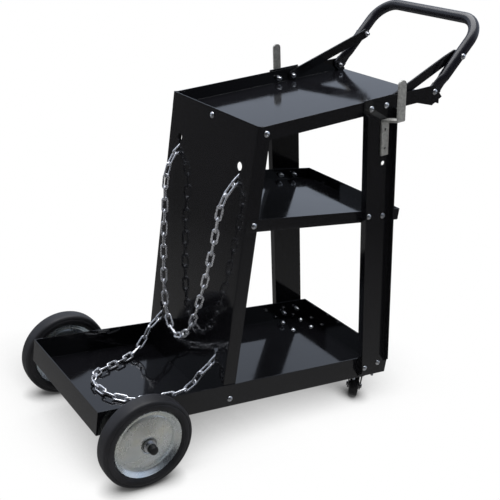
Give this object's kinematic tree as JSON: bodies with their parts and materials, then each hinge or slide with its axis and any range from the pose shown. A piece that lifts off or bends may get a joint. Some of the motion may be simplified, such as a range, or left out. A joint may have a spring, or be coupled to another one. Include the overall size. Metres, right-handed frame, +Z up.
{
  "type": "welding cart",
  "caption": "Three-deck gas welding cart with a raised pull handle, rear wheels, swivel casters, cable hooks and bottle chains.",
  "frame": {"origin": "on the ground, in the middle of the cart's length and width", "axes": "+X towards the handle and casters, +Y to the left, +Z up"},
  "size_m": [0.8162, 0.4392, 0.8459],
  "materials": {
    "black_paint": "gloss powder coat",
    "zinc_plate": "bright zinc plating",
    "hook_zinc": "dull galvanised",
    "rim_zinc": "zinc plated pressing",
    "chain_zinc": "bright zinc plated wire",
    "steel": "turned steel",
    "tyre_rubber": "smooth solid rubber",
    "caster_rubber": "moulded rubber",
    "cap_plastic": "moulded cap"
  },
  "bodies": {
    "cart": {"base_pan": "black_paint", "middle_shelf": "black_paint", "top_tray": "black_paint", "back_panel": "black_paint", "front_leg_left": "black_paint", "front_leg_right": "black_paint", "cable_hook_left": "hook_zinc", "cable_hook_right": "hook_zinc", "hook_screws": "zinc_plate", "handle_tube": "black_paint", "handle_brace_left": "black_paint", "handle_brace_right": "black_paint", "handle_bolts": "zinc_plate", "brace_bolts": "zinc_plate", "handle_nuts": "zinc_plate", "leg_bolts": "zinc_plate", "leg_nuts": "zinc_plate", "panel_bolts": "zinc_plate", "panel_nuts": "zinc_plate", "axle": "steel", "caster_bolts": "zinc_plate", "caster_nuts": "zinc_plate", "upper_chain_anchors": "chain_zinc", "lower_chain_anchors": "chain_zinc", "axle_bracket_left": "black_paint", "axle_spacer_left": "steel", "axle_washers_left": "zinc_plate", "axle_cap_left": "cap_plastic", "caster_plate_left": "black_paint", "caster_race_left": "black_paint", "caster_kingpin_left": "steel", "axle_bracket_right": "black_paint", "axle_spacer_right": "steel", "axle_washers_right": "zinc_plate", "axle_cap_right": "cap_plastic", "caster_plate_right": "black_paint", "caster_race_right": "black_paint", "caster_kingpin_right": "steel"},
    "rear_wheel_left": {"wheel_tyre_left": "tyre_rubber", "wheel_rim_outer_left": "rim_zinc", "wheel_rim_inner_left": "rim_zinc", "wheel_hub_left": "steel"},
    "rear_wheel_right": {"wheel_tyre_right": "tyre_rubber", "wheel_rim_outer_right": "rim_zinc", "wheel_rim_inner_right": "rim_zinc", "wheel_hub_right": "steel"},
    "caster_swivel_left": {"caster_fork_left": "black_paint", "caster_axle_left": "steel"},
    "caster_wheel_body_left": {"caster_wheel_left": "caster_rubber"},
    "caster_swivel_right": {"caster_fork_right": "black_paint", "caster_axle_right": "steel"},
    "caster_wheel_body_right": {"caster_wheel_right": "caster_rubber"},
    "upper_chain_run": {"upper_chain": "chain_zinc"},
    "lower_chain_run": {"lower_chain": "chain_zinc"}
  },
  "joints": [
    {"name": "rear_wheel_left_spin", "type": "hinge", "parent": "cart", "child": "rear_wheel_left", "pos_m": [-0.31913, 0.183, 0.089], "axis": [0, 1, 0], "continuous": true},
    {"name": "rear_wheel_right_spin", "type": "hinge", "parent": "cart", "child": "rear_wheel_right", "pos_m": [-0.31913, -0.183, 0.089], "axis": [0, 1, 0], "continuous": true},
    {"name": "caster_left_swivel", "type": "hinge", "parent": "cart", "child": "caster_swivel_left", "pos_m": [0.2436, 0.112, 0.07146], "axis": [0.0347, 0, 0.9994], "continuous": true},
    {"name": "caster_left_spin", "type": "hinge", "parent": "caster_swivel_left", "child": "caster_wheel_body_left", "pos_m": [0.25589, 0.12639, 0.025], "axis": [0.7189, -0.6947, -0.025], "continuous": true},
    {"name": "caster_right_swivel", "type": "hinge", "parent": "cart", "child": "caster_swivel_right", "pos_m": [0.2436, -0.112, 0.07146], "axis": [0.0347, 0, 0.9994], "continuous": true},
    {"name": "caster_right_spin", "type": "hinge", "parent": "caster_swivel_right", "child": "caster_wheel_body_right", "pos_m": [0.25589, -0.09761, 0.025], "axis": [0.7189, -0.6947, -0.025], "continuous": true},
    {"name": "upper_chain_swing", "type": "hinge", "parent": "cart", "child": "upper_chain_run", "pos_m": [-0.1324, 0, 0.52937], "axis": [0, 1, 0], "range_deg": [0, 35]},
    {"name": "lower_chain_swing", "type": "hinge", "parent": "cart", "child": "lower_chain_run", "pos_m": [-0.14493, 0, 0.16859], "axis": [0, 1, 0], "range_deg": [0, 25]}
  ]
}
